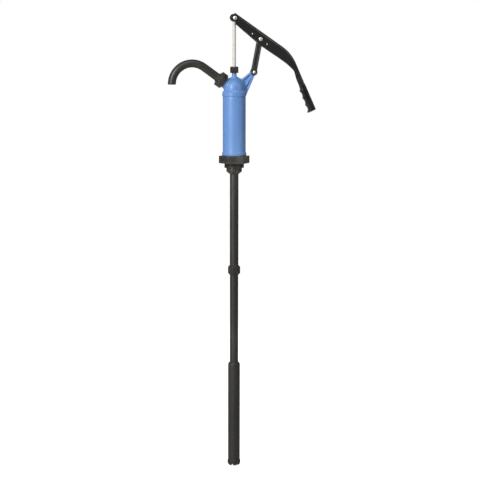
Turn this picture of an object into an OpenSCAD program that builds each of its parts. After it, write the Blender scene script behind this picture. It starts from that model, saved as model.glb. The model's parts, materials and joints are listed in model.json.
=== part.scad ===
// Hand lever drum and bilge pump: barrel with double check valves, swivel
// spout, lever linkage, G2 bung adapter and telescopic suction tube.
// Millimetres. Z is up along the pump axis; the origin is the underside of
// the hexagon collar, the plane that rests on the bung. The lever and its
// link are on +X, the spout points to -X.

/* [Barrel] */
// Outside diameter of the pump barrel
barrel_od = 68.4; // [67:0.1:70]
// Wall thickness of the pump barrel
barrel_wall = 2.7; // [2.4:0.1:3]
// Diameter of the moulded bead just above the collar
bead_od = 72.6; // [71:0.1:74]
// Underside of the bead above the bung seat
bead_z = 23.7; // [23:0.1:25]
// Height of the bead
bead_h = 8.7; // [6:0.1:10]
// Height of the lower edge of the head skirt above the bung seat
skirt_z = 199; // [196:0.5:204]

/* [Pump head] */
// Diameter of the skirt ring of the head
skirt_od = 71.3; // [71:0.1:73]
// Height of the skirt ring
skirt_h = 11.3; // [11:0.1:13]
// Height of the flare between skirt ring and dome
flare_h = 7.7; // [6:0.1:9]
// Outside radius of the dome
dome_r = 30.5; // [30:0.1:31]
// Wall thickness of the dome
dome_wall = 3; // [2.5:0.1:3.5]
// Diameter of the neck that guides the rod
neck_d = 14; // [13.6:0.1:15]
// Tilt of the outlet above the horizontal, degrees
outlet_tilt = 36; // [34:0.5:38]

/* [Bung adapter] */
// Width across flats of the hexagon collar
hex_af = 80; // [78:0.5:84]
// Height of the hexagon collar
hex_h = 22.5; // [21.5:0.1:23.5]
// Turn of the hexagon about the pump axis, degrees
hex_turn = -5; // [-30:1:30]
// Outside diameter of the G2 bung thread
thread_d = 59.6; // [59:0.1:60]
// Length of the bung thread below the collar
thread_len = 13.5; // [12:0.1:15]

/* [Suction tube] */
// Outside diameter of the upper suction pipe
upper_od = 26; // [25.6:0.1:26.4]
// Outside diameter of the middle suction pipe
middle_od = 25; // [24.6:0.1:25.4]
// Bore of both suction pipes
pipe_id = 20; // [18:0.1:20.4]
// Height of the top of the pipe coupling, below the seat
coupling_z = -305; // [-315:1:-295]
// Length of the pipe coupling
coupling_h = 29; // [27:0.5:32]
// Width across flats of the pipe coupling
coupling_af = 33.2; // [32.4:0.1:34]
// Outside diameter of the sliding foot tube
foot_od = 35.6; // [35:0.1:36.4]
// Wall thickness of the sliding foot tube
foot_wall = 2.5; // [2.2:0.1:2.8]
// Height of the top of the foot tube when fully drawn out
foot_top = -597; // [-610:1:-590]
// Length of the foot tube without its end ring
foot_len = 303; // [295:1:310]
// Diameter of the end ring of the foot tube
ring_od = 38.5; // [38:0.1:40]

/* [Spout] */
// Outside diameter of the spout tube
spout_od = 24; // [23:0.1:24.4]
// Wall thickness of the spout tube
spout_wall = 2.5; // [2:0.1:3]
// Bend radius of the spout centreline
spout_r = 60.6; // [56:0.1:64]
// Distance of the bend start from the pump axis, along the outlet axis
spout_run = 113.6; // [108:0.1:118]
// Width across flats of the spout union nut
nut_af = 40; // [39:0.1:42]
// Height of the spout union nut
nut_h = 20.9; // [20:0.1:22]

/* [Rod and piston] */
// Diameter of the piston rod
rod_d = 10; // [9.8:0.05:10.1]
// Height of the rod pin at the top of the stroke
rod_pin_z = 431; // [428:0.5:434]
// Height of the underside of the piston at the top of the stroke
piston_z = 152; // [146:1:153]

/* [Lever and link] */
// Inside width of the lever channel
lever_in = 20; // [19.8:0.1:21]
// Sheet thickness of the lever
lever_t = 2.2; // [2:0.1:2.5]
// Radius of the rounded lever end about the rod pin
lever_end_r = 11.5; // [11.5:0.1:12.5]
// Width of the grip across the hand
grip_w = 29; // [28.5:0.1:31]
// Diameter of the rod pin and the fulcrum pin
pin_d = 8; // [7.8:0.05:8.1]
// Diameter of the link pin
link_pin_d = 7; // [6.8:0.05:7.2]
// Width of the link seen from the side
link_w = 14.8; // [14:0.1:15.4]
// Width of the bracket eye between the link tines
bracket_w = 12; // [11:0.1:12.1]

/* [Hidden] */
$fn = 96;

blue = [0.40, 0.57, 0.84];
black = [0.17, 0.16, 0.15];
dark = [0.12, 0.12, 0.12];
steel = [0.80, 0.78, 0.75];
zinc = [0.86, 0.87, 0.86];
seal = [0.08, 0.08, 0.08];
white = [0.88, 0.88, 0.85];
brass = [0.78, 0.62, 0.32];

// Radial gaps: parts that stay together, and parts that run in each other
fit = 0.03;
run = 0.05;
// Small overlap used where a cut leaves a face
e = 0.5;

// Barrel and head
barrel_r = barrel_od / 2;
bore_r = barrel_r - barrel_wall;
floor_z = 5;
barrel_z0 = 6.2;
rebate = 1.2;
skirt_top = skirt_z + skirt_h;
barrel_z1 = skirt_top - 2.4;
dome_z = skirt_top + flare_h + 5;
cavity_r = dome_r - dome_wall;
neck_top = 268;
stub_r = 8.2;
stub_top = 280;
gland_af = 22;
gland_top = 286.6;
chamber_r = 6.8;
chamber_z = 270;
rod_r = rod_d / 2;

// Outlet: its axis crosses the pump axis here
outlet_z = 218.6;
boss_r = 16.6;
boss_t = 52.8;
nut_t = 38.3;
gasket_t = 1.7;
flange_t = 2.2;
flange_r = 16.1;

// Adapter
socket_r = 23.25;
spigot_r = 20;
spigot_top = -3.5;
recess_z = -2;
throat_r = 12;
socket_z = -24;
socket_end = -32;
pipe_seat = -8;

// Suction tube
upper_r = upper_od / 2;
middle_r = middle_od / 2;
pipe_r = pipe_id / 2;
coupling_mid = coupling_z - coupling_h / 2;
foot_r = foot_od / 2;
foot_bore = foot_r - foot_wall;
foot_bottom = foot_top - foot_len;
bush_z = foot_top - 20;
stop_z = foot_top - 31;

// Valve seat at the bottom of the barrel
seat_top = 11;
lip_top = 12.48;
valve_r = 13.5;
valve_bottom = 12.5;
valve_top = 15.5;
stem_r = 3;
cage_z = 22;

// Piston
piston_top = piston_z + 18;
ring_z = piston_z + 5;
ring_h = 8;
core_r = 27;

// Lever outline, measured from the rod pin in the rest position
lever_w = lever_in + 2 * lever_t;
tip = [1.7, 14.7];
corner = [172.6, -104.5];
grip_end = [248, -272.3];
beam_dir = atan2(corner[1] - tip[1], corner[0] - tip[0]);
grip_dir = atan2(grip_end[1] - corner[1], grip_end[0] - corner[0]);
bend_r = 150;
bend_len = bend_r * tan((beam_dir - grip_dir) / 2);
bend_a = [corner[0] - bend_len * cos(beam_dir), corner[1] - bend_len * sin(beam_dir)];
bend_b = [corner[0] + bend_len * cos(grip_dir), corner[1] + bend_len * sin(grip_dir)];
bend_c = [bend_a[0] + bend_r * sin(beam_dir), bend_a[1] - bend_r * cos(beam_dir)];
handle_len = norm(grip_end - bend_b);
grip_len = 86;
tang_in = 3;
tang_w = 12;
fulcrum = [77.83, -62.79];
spare_a = [54.8, -47.3];
spare_b = [99.4, -78.3];
spare_r = 4.25;

// Link between the bracket eye and the fulcrum
eye = [59, 270];
link_len = 100;
link_tilt = 10.854;
link_end_r = 9.8;
link_head_r = 9.5;
link_t = lever_in - 1.2;
slot_run = 9.8;
slot_r = pin_d / 2 + 1.1;
eye_r = 7.5;

module tube(ro, ri, z0, z1) {
    difference() {
        translate([0, 0, z0]) cylinder(h = z1 - z0, r = ro);
        translate([0, 0, z0 - e]) cylinder(h = z1 - z0 + 2 * e, r = ri);
    }
}

// Moves a child to the outlet axis, local +Z along the flow
module at_outlet() {
    translate([0, 0, outlet_z]) rotate([0, outlet_tilt - 90, 0]) children();
}

// Moves a child drawn in the XZ plane of the lever onto the rod pin
module at_lever() {
    translate([0, 0, rod_pin_z]) children();
}

// Flat shape in X and Z, thickened along Y between two planes
module slab(y0, y1) {
    translate([0, y1, 0]) rotate([90, 0, 0]) linear_extrude(height = y1 - y0) children();
}

// Round bar along Y between two planes
module bar_y(x, z, r, y0, y1) {
    translate([x, y1, z]) rotate([90, 0, 0]) cylinder(h = y1 - y0, r = r);
}

// ---------------------------------------------------------------- adapter
module bung_adapter() {
    color(black)
    difference() {
        union() {
            rotate(hex_turn) cylinder(h = hex_h, r = hex_af / 2 / cos(30), $fn = 6);
            translate([0, 0, -thread_len]) cylinder(h = thread_len + 1, d = thread_d);
        }
        translate([0, 0, floor_z]) cylinder(h = hex_h, r = barrel_r + fit);
        translate([0, 0, recess_z - e]) cylinder(h = floor_z + 2 * e + 2, r = throat_r);
        translate([0, 0, -thread_len - e]) cylinder(h = thread_len + e + recess_z, r = spigot_r + fit);
    }
}

module barrel_seal() {
    color(seal)
    tube(barrel_r - 0.1, bore_r + 0.1, floor_z + 0.02, barrel_z0 - 0.02);
}

module barrel() {
    color(blue)
    difference() {
        union() {
            translate([0, 0, barrel_z0]) cylinder(h = skirt_z - barrel_z0, r = barrel_r);
            translate([0, 0, barrel_z0]) cylinder(h = barrel_z1 - barrel_z0, r = barrel_r - rebate);
            translate([0, 0, bead_z]) cylinder(h = bead_h, d = bead_od);
        }
        translate([0, 0, barrel_z0 - e]) cylinder(h = barrel_z1, r = bore_r);
    }
}

// ------------------------------------------------------------------- head
module bracket_shape() {
    slab(-bracket_w / 2, bracket_w / 2)
    polygon([[14, 243.2], [23.4, 250.2], [52.4, 272.8], [63.4, 264.6], [66, 270],
        [64, 267.5], [36, 203.6], [30, 203.6]]);
    bar_y(eye[0], eye[1], eye_r, -bracket_w / 2, bracket_w / 2);
}

// Hollows on both faces that leave flanges, a rib and a thin web
module bracket_pockets(y0, y1) {
    slab(y0, y1) polygon([[26, 246.6], [49.8, 265.2], [34.8, 233.5], [29.6, 231.5]]);
    slab(y0, y1) polygon([[31, 229.3], [36.8, 230.9], [53.4, 259.4], [34.6, 213.2], [31, 216]]);
}

module pump_head() {
    color(blue)
    difference() {
        union() {
            translate([0, 0, skirt_z]) cylinder(h = skirt_h, d = skirt_od);
            translate([0, 0, skirt_top]) cylinder(h = flare_h, r1 = skirt_od / 2, r2 = dome_r);
            translate([0, 0, skirt_top + 2]) cylinder(h = dome_z - skirt_top - 2, r = dome_r);
            translate([0, 0, dome_z]) sphere(r = dome_r);
            translate([0, 0, dome_z + 20]) cylinder(h = neck_top - dome_z - 20, d = neck_d);
            translate([0, 0, dome_z + 27.5]) cylinder(h = 8, r1 = 14, r2 = neck_d / 2);
            translate([0, 0, neck_top]) cylinder(h = stub_top - neck_top, r = stub_r);
            at_outlet() translate([0, 0, 15]) cylinder(h = boss_t - 15, r = boss_r);
            difference() {
                bracket_shape();
                bracket_pockets(2, bracket_w / 2 + e);
                bracket_pockets(-bracket_w / 2 - e, -2);
            }
        }
        translate([0, 0, skirt_z - 10]) cylinder(h = barrel_z1 + 2 - skirt_z + 10, r = barrel_r - rebate + fit);
        translate([0, 0, skirt_z + 5]) cylinder(h = dome_z - skirt_z - 5, r = cavity_r);
        translate([0, 0, dome_z]) sphere(r = cavity_r);
        at_outlet() translate([0, 0, 5]) cylinder(h = boss_t, r = throat_r);
        cylinder(h = stub_top + e, r = rod_r + run);
        translate([0, 0, chamber_z]) cylinder(h = stub_top - chamber_z + e, r = chamber_r);
        bar_y(eye[0], eye[1], link_pin_d / 2 + run, -bracket_w, bracket_w);
    }
}

module head_seal() {
    color(seal)
    tube(barrel_r - rebate - 0.05, bore_r + 0.1, barrel_z1 + 0.05, barrel_z1 + 1.95);
}

module gland_packing() {
    color(white)
    tube(chamber_r - fit, rod_r + run, chamber_z + 0.05, chamber_z + 6);
}

module gland_bush() {
    color(brass)
    difference() {
        union() {
            translate([0, 0, chamber_z + 6.05]) cylinder(h = stub_top - chamber_z - 6, r = chamber_r - fit);
            translate([0, 0, stub_top + 0.05]) cylinder(h = 1.9, r = stub_r - 0.1);
        }
        cylinder(h = gland_top, r = rod_r + run);
    }
}

module gland_nut() {
    color(black)
    difference() {
        translate([0, 0, neck_top]) cylinder(h = gland_top - neck_top, r = gland_af / 2 / cos(30), $fn = 6);
        translate([0, 0, neck_top - e]) cylinder(h = stub_top + 2 - neck_top + e, r = stub_r + fit);
        translate([0, 0, neck_top]) cylinder(h = gland_top, r = rod_r + 0.4);
    }
}

// ------------------------------------------------------------- foot valve
// Disc with a raised lip; a web below the throat guides the valve stem
module valve_seat() {
    color(black)
    difference() {
        union() {
            translate([0, 0, floor_z + 0.05]) cylinder(h = seat_top - floor_z - 0.05, r = bore_r - 0.05);
            translate([0, 0, seat_top - 1]) cylinder(h = lip_top - seat_top + 1, r = 13);
        }
        translate([0, 0, floor_z + 4]) cylinder(h = seat_top, r = 10);
        for (a = [0 : 60 : 300]) {
            rotate(a) translate([6.8, 0, floor_z - 1]) cylinder(h = seat_top, r = 2.4, $fn = 48);
        }
        cylinder(h = seat_top + 2, r = stem_r + run);
    }
}

module valve_cage() {
    color(black)
    union() {
        tube(24, 17, seat_top + 0.05, seat_top + 3);
        tube(21, 8, cage_z, cage_z + 3);
        for (a = [45, 135, 225, 315]) {
            rotate(a) translate([17.5, -2.5, seat_top + 2]) cube([3, 5, cage_z - seat_top - 1]);
        }
    }
}

module foot_valve() {
    color(dark)
    union() {
        translate([0, 0, valve_bottom]) cylinder(h = valve_top - valve_bottom, r = valve_r);
        translate([0, 0, 2]) cylinder(h = valve_bottom, r = stem_r);
    }
}

// ----------------------------------------------------------- suction tube
module suction_socket() {
    color(black)
    difference() {
        union() {
            translate([0, 0, socket_z]) cylinder(h = -thread_len - 0.05 - socket_z, r = socket_r);
            translate([0, 0, socket_end]) cylinder(h = socket_z - socket_end, r1 = upper_r + 1.6, r2 = socket_r);
            translate([0, 0, socket_z]) cylinder(h = spigot_top - socket_z, r = spigot_r);
        }
        translate([0, 0, socket_end - e]) cylinder(h = pipe_seat - socket_end + e, r = upper_r + fit);
        translate([0, 0, socket_end]) cylinder(h = 40, r = pipe_r);
    }
}

module socket_seal() {
    color(seal)
    tube(spigot_r - 0.2, 14, spigot_top + 0.05, recess_z - 0.05);
}

module upper_pipe() {
    color(black)
    tube(upper_r, pipe_r, coupling_mid + 0.5, pipe_seat - 0.05);
}

module pipe_coupling() {
    color(black)
    difference() {
        intersection() {
            translate([0, 0, coupling_z - coupling_h])
            rotate(22.5) cylinder(h = coupling_h, r = coupling_af / 2 / cos(22.5), $fn = 8);
            union() {
                translate([0, 0, coupling_z - 5]) cylinder(h = 5, r1 = 19, r2 = 14);
                translate([0, 0, coupling_z - coupling_h + 4.5]) cylinder(h = coupling_h - 9.4, r = 19);
                translate([0, 0, coupling_z - coupling_h]) cylinder(h = 4.6, r1 = 14, r2 = 19);
            }
        }
        translate([0, 0, coupling_mid + 0.45]) cylinder(h = coupling_h, r = upper_r + fit);
        translate([0, 0, coupling_mid - 0.45 - coupling_h]) cylinder(h = coupling_h, r = middle_r + fit);
        translate([0, 0, coupling_mid - 5]) cylinder(h = 10, r = pipe_r);
    }
}

module middle_pipe() {
    color(black)
    tube(middle_r, pipe_r, stop_z, coupling_mid - 0.5);
}

module pipe_stop() {
    color(black)
    tube(foot_bore - run, middle_r + fit, stop_z, stop_z + 5);
}

module foot_tube() {
    color(black)
    difference() {
        union() {
            translate([0, 0, foot_bottom]) cylinder(h = foot_len - 8, r = foot_r);
            translate([0, 0, foot_top - 8]) cylinder(h = 5, r1 = foot_r, r2 = foot_r - 1);
            translate([0, 0, foot_top - 3]) cylinder(h = 3, r1 = foot_r - 1, r2 = foot_r - 3.6);
        }
        translate([0, 0, foot_bottom - e]) cylinder(h = foot_len - 3 + e, r = foot_bore);
        translate([0, 0, foot_top - 5]) cylinder(h = 6, r = middle_r + 0.1);
    }
}

module foot_bush() {
    color(black)
    tube(foot_bore - fit, middle_r + run, bush_z, foot_top - 3.05);
}

module slide_seal() {
    color(seal)
    tube(foot_bore - 0.05, middle_r + run, bush_z - 4, bush_z - 0.05);
}

module suction_foot() {
    color(black)
    difference() {
        union() {
            translate([0, 0, foot_bottom - 3]) cylinder(h = 11, d = ring_od);
            translate([0, 0, foot_bottom - 9]) cylinder(h = 6, r1 = 14.4, r2 = ring_od / 2);
        }
        translate([0, 0, foot_bottom - 0.05]) cylinder(h = 20, r = foot_r + fit);
        translate([0, 0, foot_bottom - 12]) cylinder(h = 20, r = 12);
        for (a = [0, 60, 120]) {
            rotate(a) translate([-25, -2.6, foot_bottom - 12]) cube([50, 5.2, 7]);
        }
    }
}

// ------------------------------------------------------------------ spout
module spout_gasket() {
    color(seal)
    at_outlet() tube(boss_r - 0.4, throat_r - 1, boss_t + 0.03, boss_t + gasket_t);
}

module spout_nut() {
    color(black)
    at_outlet() difference() {
        translate([0, 0, nut_t]) cylinder(h = nut_h, r = nut_af / 2 / cos(30), $fn = 6);
        translate([0, 0, nut_t - e]) cylinder(h = boss_t + gasket_t + flange_t + 0.1 - nut_t + e, r = boss_r + fit);
        translate([0, 0, nut_t]) cylinder(h = nut_h + e, r = spout_od / 2 + 0.3);
    }
}

// Bend in the XZ plane from the outlet direction round to straight down
module spout_bend(r) {
    translate([-spout_run * cos(outlet_tilt), 0, outlet_z + spout_run * sin(outlet_tilt)])
    translate([-spout_r * sin(outlet_tilt), 0, -spout_r * cos(outlet_tilt)])
    rotate([90, 0, 0])
    rotate_extrude(angle = 90 + outlet_tilt, start = 90 - outlet_tilt, $fn = 64)
    translate([spout_r, 0]) circle(r = r, $fn = 48);
}

// Straight run, bend and short mouth; the straights lap the bend a little
module spout_shape(r) {
    mouth_x = -spout_run * cos(outlet_tilt) - spout_r * sin(outlet_tilt) - spout_r;
    mouth_z = outlet_z + spout_run * sin(outlet_tilt) - spout_r * cos(outlet_tilt);
    t0 = boss_t + gasket_t + 0.03;
    lap = r + 0.03;
    spout_bend(r);
    at_outlet() translate([0, 0, t0 - (r < spout_od / 2 ? e : 0)])
    cylinder(h = spout_run - t0 + (r < spout_od / 2 ? e : 0) + 1, r = lap);
    translate([mouth_x, 0, mouth_z - 2 - (r < spout_od / 2 ? e : 0)])
    cylinder(h = 3 + (r < spout_od / 2 ? e : 0), r = lap);
}

module spout() {
    t0 = boss_t + gasket_t + 0.03;
    color(black)
    difference() {
        union() {
            at_outlet() translate([0, 0, t0]) cylinder(h = flange_t, r = flange_r);
            spout_shape(spout_od / 2);
        }
        spout_shape(spout_od / 2 - spout_wall);
    }
}

// --------------------------------------------------------- rod and piston
module piston_rod() {
    color(steel)
    translate([0, 0, piston_z - 8]) cylinder(h = rod_pin_z - 5.5 - piston_z + 8, r = rod_r);
}

module rod_end() {
    color(dark)
    difference() {
        union() {
            bar_y(0, rod_pin_z, 9, -lever_in / 2 + 0.2, lever_in / 2 - 0.2);
            translate([0, 0, rod_pin_z - 11]) cylinder(h = 11, r = 7.5);
        }
        translate([0, 0, rod_pin_z - 12]) cylinder(h = 6.6, r = rod_r + fit);
        bar_y(0, rod_pin_z, pin_d / 2 + run, -lever_in, lever_in);
    }
}

module piston_body() {
    color(white)
    difference() {
        translate([0, 0, piston_z]) cylinder(h = 18, r = bore_r - 0.6);
        difference() {
            translate([0, 0, ring_z]) cylinder(h = ring_h, r = bore_r + 1);
            translate([0, 0, ring_z - e]) cylinder(h = ring_h + 2 * e, r = core_r);
        }
        translate([0, 0, piston_z - e]) cylinder(h = 20, r = rod_r + fit);
        for (a = [0 : 60 : 300]) {
            rotate(a) translate([14, 0, piston_z - e]) cylinder(h = 20, r = 4.2, $fn = 48);
        }
    }
}

module piston_seal() {
    color(seal)
    tube(bore_r - run, core_r + fit, ring_z + 0.05, ring_z + ring_h - 0.05);
}

module piston_nut() {
    color(zinc)
    difference() {
        translate([0, 0, piston_z - 6]) cylinder(h = 5.95, r = 8.5 / cos(30), $fn = 6);
        translate([0, 0, piston_z - 7]) cylinder(h = 8, r = rod_r + fit);
    }
}

module valve_stop() {
    color(zinc)
    tube(9.5, rod_r + fit, piston_top + 7.2, piston_top + 13);
}

module piston_valve() {
    color(dark)
    tube(22, rod_r + run, piston_top + 0.05, piston_top + 3);
}

// ------------------------------------------------------------------ lever
// Side outline: round end, deep beam, bend and narrow tang in the grip
module lever_side() {
    u = [cos(grip_dir), sin(grip_dir)];
    n = [-sin(grip_dir), cos(grip_dir)];
    neck = grip_end - 98 * u;
    tang = grip_end - 82 * u;
    stub = grip_end - 8 * u;
    difference() {
        union() {
            polygon([tip, corner, neck - 0.8 * n, tang - tang_in * n, stub - tang_in * n,
                stub - (tang_in + tang_w) * n, tang - (tang_in + tang_w) * n,
                neck - 15.8 * n, grip_end - 112 * u - 14.3 * n, grip_end - 131 * u - 11 * n,
                [174, -149.5], [160, -136.5], [139, -121.3], [97, -93.4], [80.3, -81.6],
                [47.6, -54.3], [4.7, -17.8]]);
            circle(r = lever_end_r);
        }
        difference() {
            polygon([bend_a, corner + [20, 20], bend_b]);
            translate(bend_c) circle(r = bend_r);
        }
        circle(r = pin_d / 2 + 0.02);
        translate(fulcrum) circle(r = pin_d / 2 + 0.02);
        translate(spare_a) circle(r = spare_r);
        translate(spare_b) circle(r = spare_r);
    }
}

// The fold that closes the channel along the outer edge
module lever_fold() {
    u = [cos(grip_dir), sin(grip_dir)];
    n = [-sin(grip_dir), cos(grip_dir)];
    beam_n = [-sin(beam_dir), cos(beam_dir)];
    neck = grip_end - 98 * u;
    slab(-lever_w / 2, lever_w / 2)
    union() {
        polygon([tip, bend_a, bend_a - lever_t * beam_n, tip - lever_t * beam_n]);
        polygon([bend_b, neck - 0.8 * n, neck - (0.8 + lever_t) * n, bend_b - lever_t * n]);
        polygon([neck - 0.8 * n, grip_end - 82 * u - tang_in * n,
            grip_end - 8 * u - tang_in * n, grip_end - 8 * u - (tang_in + lever_t) * n,
            grip_end - 82 * u - (tang_in + lever_t) * n, neck - (0.8 + lever_t) * n]);
    }
    translate([bend_c[0], 0, bend_c[1]]) rotate([90, 0, 0])
    rotate_extrude(angle = beam_dir - grip_dir, start = 90 + grip_dir)
    translate([bend_r - lever_t, -lever_w / 2]) square([lever_t, lever_w]);
}

module lever() {
    color(dark)
    at_lever() union() {
        slab(-lever_w / 2, -lever_in / 2) lever_side();
        slab(lever_in / 2, lever_w / 2) lever_side();
        lever_fold();
    }
}

// Moulded grip with finger grooves on the inner side
module lever_grip() {
    color(dark)
    at_lever()
    translate([grip_end[0], 0, grip_end[1]]) rotate([0, -180 - grip_dir, 0])
    difference() {
        slab(-grip_w / 2, grip_w / 2)
        difference() {
            polygon([[0, 0], [grip_len, 0], [grip_len, 17.4], [73, 18.3],
                [66.4, 22], [0, 24.1]]);
            for (s = [0 : 2]) {
                translate([55.4 - 22.2 * s, 41.3 + 0.7 * s]) circle(r = 21.7);
            }
        }
        slab(-lever_w / 2 - fit, lever_w / 2 + fit)
        polygon([[7.5, tang_in - fit], [82, tang_in - fit], [98, 0.8 - fit], [100, -1],
            [100, 20], [98, 15.8 + fit], [82, tang_in + tang_w + fit],
            [7.5, tang_in + tang_w + fit]]);
    }
}

module headed_pin(x, z, r, head_r, half) {
    bar_y(x, z, r, -half, half + 2.2);
    bar_y(x, z, head_r, -half - 1.7, -half);
    translate([x, -half - 1.7, z]) rotate([90, 0, 0]) cylinder(h = 1.2, r1 = head_r, r2 = head_r - 1.9);
}

module clip(x, z, r, ro, y0) {
    difference() {
        bar_y(x, z, ro, y0, y0 + 1.5);
        bar_y(x, z, r + 0.02, y0 - 1, y0 + 3);
    }
}

module rod_pin() {
    color(zinc)
    headed_pin(0, rod_pin_z, pin_d / 2, 6.2, lever_w / 2 + 0.05);
}

module fulcrum_pin() {
    color(zinc)
    headed_pin(fulcrum[0], rod_pin_z + fulcrum[1], pin_d / 2, 6.7, lever_w / 2 + 0.05);
}

module lever_clips() {
    color(zinc)
    union() {
        clip(0, rod_pin_z, pin_d / 2, 6.2, lever_w / 2 + 0.1);
        clip(fulcrum[0], rod_pin_z + fulcrum[1], pin_d / 2, 6.7, lever_w / 2 + 0.1);
    }
}

// ------------------------------------------------------------------- link
// Upright link turned about its lower eye; local +Z runs to the fulcrum
module link_body() {
    difference() {
        union() {
            translate([-link_w / 2, -link_t / 2, 0]) cube([link_w, link_t, link_len]);
            bar_y(0, 0, link_end_r, -link_t / 2, link_t / 2);
            bar_y(0, link_len, link_head_r, -link_t / 2, link_t / 2);
            bar_y(slot_run, link_len, link_head_r, -link_t / 2, link_t / 2);
            translate([0, -link_t / 2, link_len - link_head_r])
            cube([slot_run, link_t, 2 * link_head_r]);
        }
        translate([-20, -bracket_w / 2 - 0.2, -15]) cube([40, bracket_w + 0.4, 28.5]);
        bar_y(0, 0, link_pin_d / 2 + 0.02, -link_t, link_t);
        bar_y(0, link_len, slot_r, -link_t, link_t);
        bar_y(slot_run, link_len, slot_r, -link_t, link_t);
        translate([0, -link_t, link_len - slot_r]) cube([slot_run, 2 * link_t, 2 * slot_r]);
        for (s = [-1, 1]) {
            translate([-link_w / 2 + 2.7, s * link_t / 2 - 3.6, 19])
            cube([link_w - 5.4, 7.2, 62]);
        }
    }
}

module link() {
    color(dark)
    translate([eye[0], 0, eye[1]]) rotate([0, link_tilt, 0]) link_body();
}

module link_pin() {
    color(zinc)
    headed_pin(eye[0], eye[1], link_pin_d / 2, 5.2, link_t / 2 + 0.05);
}

module link_clip() {
    color(zinc)
    clip(eye[0], eye[1], link_pin_d / 2, 5.2, link_t / 2 + 0.1);
}

bung_adapter();
barrel_seal();
barrel();
pump_head();
head_seal();
gland_packing();
gland_bush();
gland_nut();
valve_seat();
valve_cage();
foot_valve();
suction_socket();
socket_seal();
upper_pipe();
pipe_coupling();
middle_pipe();
pipe_stop();
foot_tube();
foot_bush();
slide_seal();
suction_foot();
spout_gasket();
spout_nut();
spout();
piston_rod();
rod_end();
piston_body();
piston_seal();
piston_nut();
valve_stop();
piston_valve();
lever();
lever_grip();
rod_pin();
fulcrum_pin();
lever_clips();
link();
link_pin();
link_clip();
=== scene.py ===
import json
import math

import bmesh
import bpy
import numpy as np
from mathutils import Matrix, Vector


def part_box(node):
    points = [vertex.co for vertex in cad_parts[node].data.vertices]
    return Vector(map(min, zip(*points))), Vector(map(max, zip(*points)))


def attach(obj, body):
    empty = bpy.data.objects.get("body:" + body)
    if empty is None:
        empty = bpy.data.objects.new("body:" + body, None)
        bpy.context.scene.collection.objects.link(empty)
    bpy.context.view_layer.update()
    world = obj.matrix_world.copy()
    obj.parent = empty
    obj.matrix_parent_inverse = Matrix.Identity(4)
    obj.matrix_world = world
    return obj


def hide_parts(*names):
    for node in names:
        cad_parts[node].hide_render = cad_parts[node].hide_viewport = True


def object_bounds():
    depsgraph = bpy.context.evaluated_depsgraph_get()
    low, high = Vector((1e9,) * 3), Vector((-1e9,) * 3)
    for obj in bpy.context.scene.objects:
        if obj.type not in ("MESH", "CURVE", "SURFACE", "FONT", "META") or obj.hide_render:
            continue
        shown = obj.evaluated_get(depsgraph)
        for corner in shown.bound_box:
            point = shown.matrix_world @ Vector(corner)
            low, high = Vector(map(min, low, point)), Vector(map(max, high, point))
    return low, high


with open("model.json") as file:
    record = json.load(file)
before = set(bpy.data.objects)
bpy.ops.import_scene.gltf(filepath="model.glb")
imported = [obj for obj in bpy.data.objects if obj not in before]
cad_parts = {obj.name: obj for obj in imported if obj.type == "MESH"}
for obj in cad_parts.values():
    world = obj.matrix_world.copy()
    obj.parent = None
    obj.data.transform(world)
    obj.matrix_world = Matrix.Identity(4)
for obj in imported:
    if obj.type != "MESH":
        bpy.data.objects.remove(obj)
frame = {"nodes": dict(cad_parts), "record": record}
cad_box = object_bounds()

# A lever-action drum pump: blue barrel and head, black spout, pipes, link and lever. Lengths are
# in millimetres in the row frame, unless they say metres; height 0 is the adapter's seat on the
# drum, and the lever moves in the XZ plane. The camera stands on the -Y side.
MM = 0.001
WELD_DIST, DEGENERATE_DIST = 2e-6, 1e-6      # metres
SCENE = bpy.context.scene
FULL_TURN = 2 * math.pi


def corner(node, which):
    """A corner of a CAD node's box, in millimetres: which 0 is the lowest, 1 the highest."""
    return np.array(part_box(node)[which], float) / MM


# --------------------------------------------------------------- materials
def new_material(name):
    """A material, its node tree, its object coordinates in metres, and its shader."""
    mat = bpy.data.materials.new(name)
    mat.use_nodes = True
    tree = mat.node_tree
    bsdf = next(n for n in tree.nodes if n.type == "BSDF_PRINCIPLED")
    coord = tree.nodes.new("ShaderNodeTexCoord").outputs["Object"]
    return mat, tree, coord, bsdf


def noise(tree, coord, scale, detail=3.0, rough=0.5, stretch=None):
    """Noise in 0 to 1, with about scale features to a metre; stretch multiplies each axis's scale."""
    node = tree.nodes.new("ShaderNodeTexNoise")
    node.inputs["Scale"].default_value = scale
    node.inputs["Detail"].default_value = detail
    node.inputs["Roughness"].default_value = rough
    if stretch:
        mapping = tree.nodes.new("ShaderNodeMapping")
        mapping.inputs["Scale"].default_value = stretch
        tree.links.new(coord, mapping.inputs["Vector"])
        coord = mapping.outputs["Vector"]
    tree.links.new(coord, node.inputs["Vector"])
    return node.outputs["Fac"]


def ramp(tree, fac, stops):
    """A colour ramp of (position, colour) stops."""
    node = tree.nodes.new("ShaderNodeValToRGB")
    els = node.color_ramp.elements
    while len(els) < len(stops):
        els.new(0.5)
    for el, (pos, col) in zip(els, stops):
        el.position = pos
        el.color = (*col, 1.0)
    tree.links.new(fac, node.inputs["Fac"])
    return node.outputs["Color"]


def mix(tree, fac, a, b, blend="MIX"):
    """Mixes two colours; each input is a socket or a constant."""
    node = tree.nodes.new("ShaderNodeMix")
    node.data_type = "RGBA"
    node.blend_type = blend
    fac_in, a_in, b_in, colour_out = 0, 6, 7, 2
    for socket, value in ((fac_in, fac), (a_in, a), (b_in, b)):
        if isinstance(value, (int, float)):
            node.inputs[socket].default_value = value
        elif isinstance(value, tuple):
            node.inputs[socket].default_value = (*value, 1.0)
        else:
            tree.links.new(value, node.inputs[socket])
    return node.outputs[colour_out]


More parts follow.
